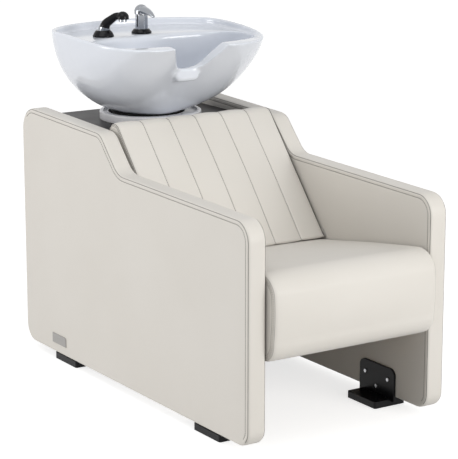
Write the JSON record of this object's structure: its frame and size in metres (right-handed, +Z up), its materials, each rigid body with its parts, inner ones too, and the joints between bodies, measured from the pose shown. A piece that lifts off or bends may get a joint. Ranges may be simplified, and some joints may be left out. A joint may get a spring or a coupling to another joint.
{
  "type": "salon backwash unit",
  "caption": "Upholstered salon backwash chair: a seat and channelled back between side panels, and a tilting ceramic basin with mixer and hand spray behind the head.",
  "frame": {"origin": "centre of the overall box in plan, on the floor", "axes": "+Z up, -Y towards the seat's front, +Y towards the basin and the rear, +X to the seated person's left"},
  "size_m": [0.622, 1.2541, 1.021],
  "materials": {
    "leatherette": "cream leatherette, fine grain, sewn",
    "board": "bare plywood, unseen",
    "dark_deck": "dark charcoal laminate",
    "dark_cover": "dark charcoal laminate board",
    "steel": "black powder coat",
    "bracket_black": "gloss black",
    "screw_steel": "bright zinc",
    "rubber_black": "black rubber",
    "collar_white": "gloss white",
    "basin_white": "glazed white",
    "chrome": "polished chrome",
    "tap_black": "gloss black",
    "waste_steel": "polished steel",
    "plate_metal": "bare brushed aluminium"
  },
  "bodies": {
    "frame": {"side_panel_board_left": "board", "side_panel_board_right": "board", "side_panel_cover_left": "leatherette", "side_panel_cover_right": "leatherette", "seat_cushion": "leatherette", "seat_board": "board", "seat_batten_left": "board", "seat_batten_right": "board", "back_pad": "leatherette", "back_board": "board", "back_batten_left": "board", "back_batten_right": "board", "service_deck": "dark_deck", "deck_batten_left": "board", "deck_batten_right": "board", "inner_front_panel": "dark_cover", "rear_cover": "dark_cover", "rear_cleat_left": "board", "rear_cleat_right": "board", "rear_cover_screws": "screw_steel", "front_cross_tube": "steel", "rear_cross_tube": "steel", "cross_tube_screws": "screw_steel", "front_bracket_left": "bracket_black", "front_bracket_right": "bracket_black", "rear_bracket_left": "bracket_black", "rear_bracket_right": "bracket_black", "bracket_screws": "screw_steel", "bracket_floor_pads": "rubber_black", "panel_plate": "plate_metal", "collar_ring": "collar_white", "tilt_bracket": "steel", "tilt_pin": "waste_steel", "tilt_rest_pads": "rubber_black"},
    "basin": {"basin": "basin_white", "tilt_plate": "steel", "basin_bolts": "screw_steel", "waste_flange": "waste_steel", "waste_nut": "waste_steel", "waste_tail": "waste_steel", "mixer_base_ring": "tap_black", "mixer_body": "chrome", "mixer_slot_strip": "tap_black", "mixer_nut": "waste_steel", "spray_base": "tap_black", "spray_collar": "chrome", "spray_nut": "waste_steel"},
    "strainer": {"waste_strainer": "waste_steel"},
    "mixer_cartridge": {"mixer_stem": "waste_steel", "mixer_pin": "waste_steel"},
    "mixer_handle": {"mixer_lever": "chrome"},
    "hand_spray": {"spray_handset": "tap_black", "spray_face": "chrome"}
  },
  "joints": [
    {"name": "basin_tilt", "type": "hinge", "parent": "frame", "child": "basin", "pos_m": [0, 0.518, 0.71], "axis": [-1, 0, 0], "range_deg": [0, 10]},
    {"name": "strainer_lift", "type": "slide", "parent": "basin", "child": "strainer", "axis": [0, 0, 1], "range_m": [0, 0.06]},
    {"name": "mixer_swivel", "type": "hinge", "parent": "basin", "child": "mixer_cartridge", "pos_m": [0, 0.442, 0.991], "axis": [0, 0, 1], "range_deg": [-45, 45]},
    {"name": "mixer_lift", "type": "hinge", "parent": "mixer_cartridge", "child": "mixer_handle", "pos_m": [0, 0.452, 0.9988], "axis": [-1, 0, 0], "range_deg": [0, 20]},
    {"name": "spray_pull", "type": "slide", "parent": "basin", "child": "hand_spray", "axis": [0.1664, -0.1983, 0.9659], "range_m": [0, 0.12]}
  ]
}
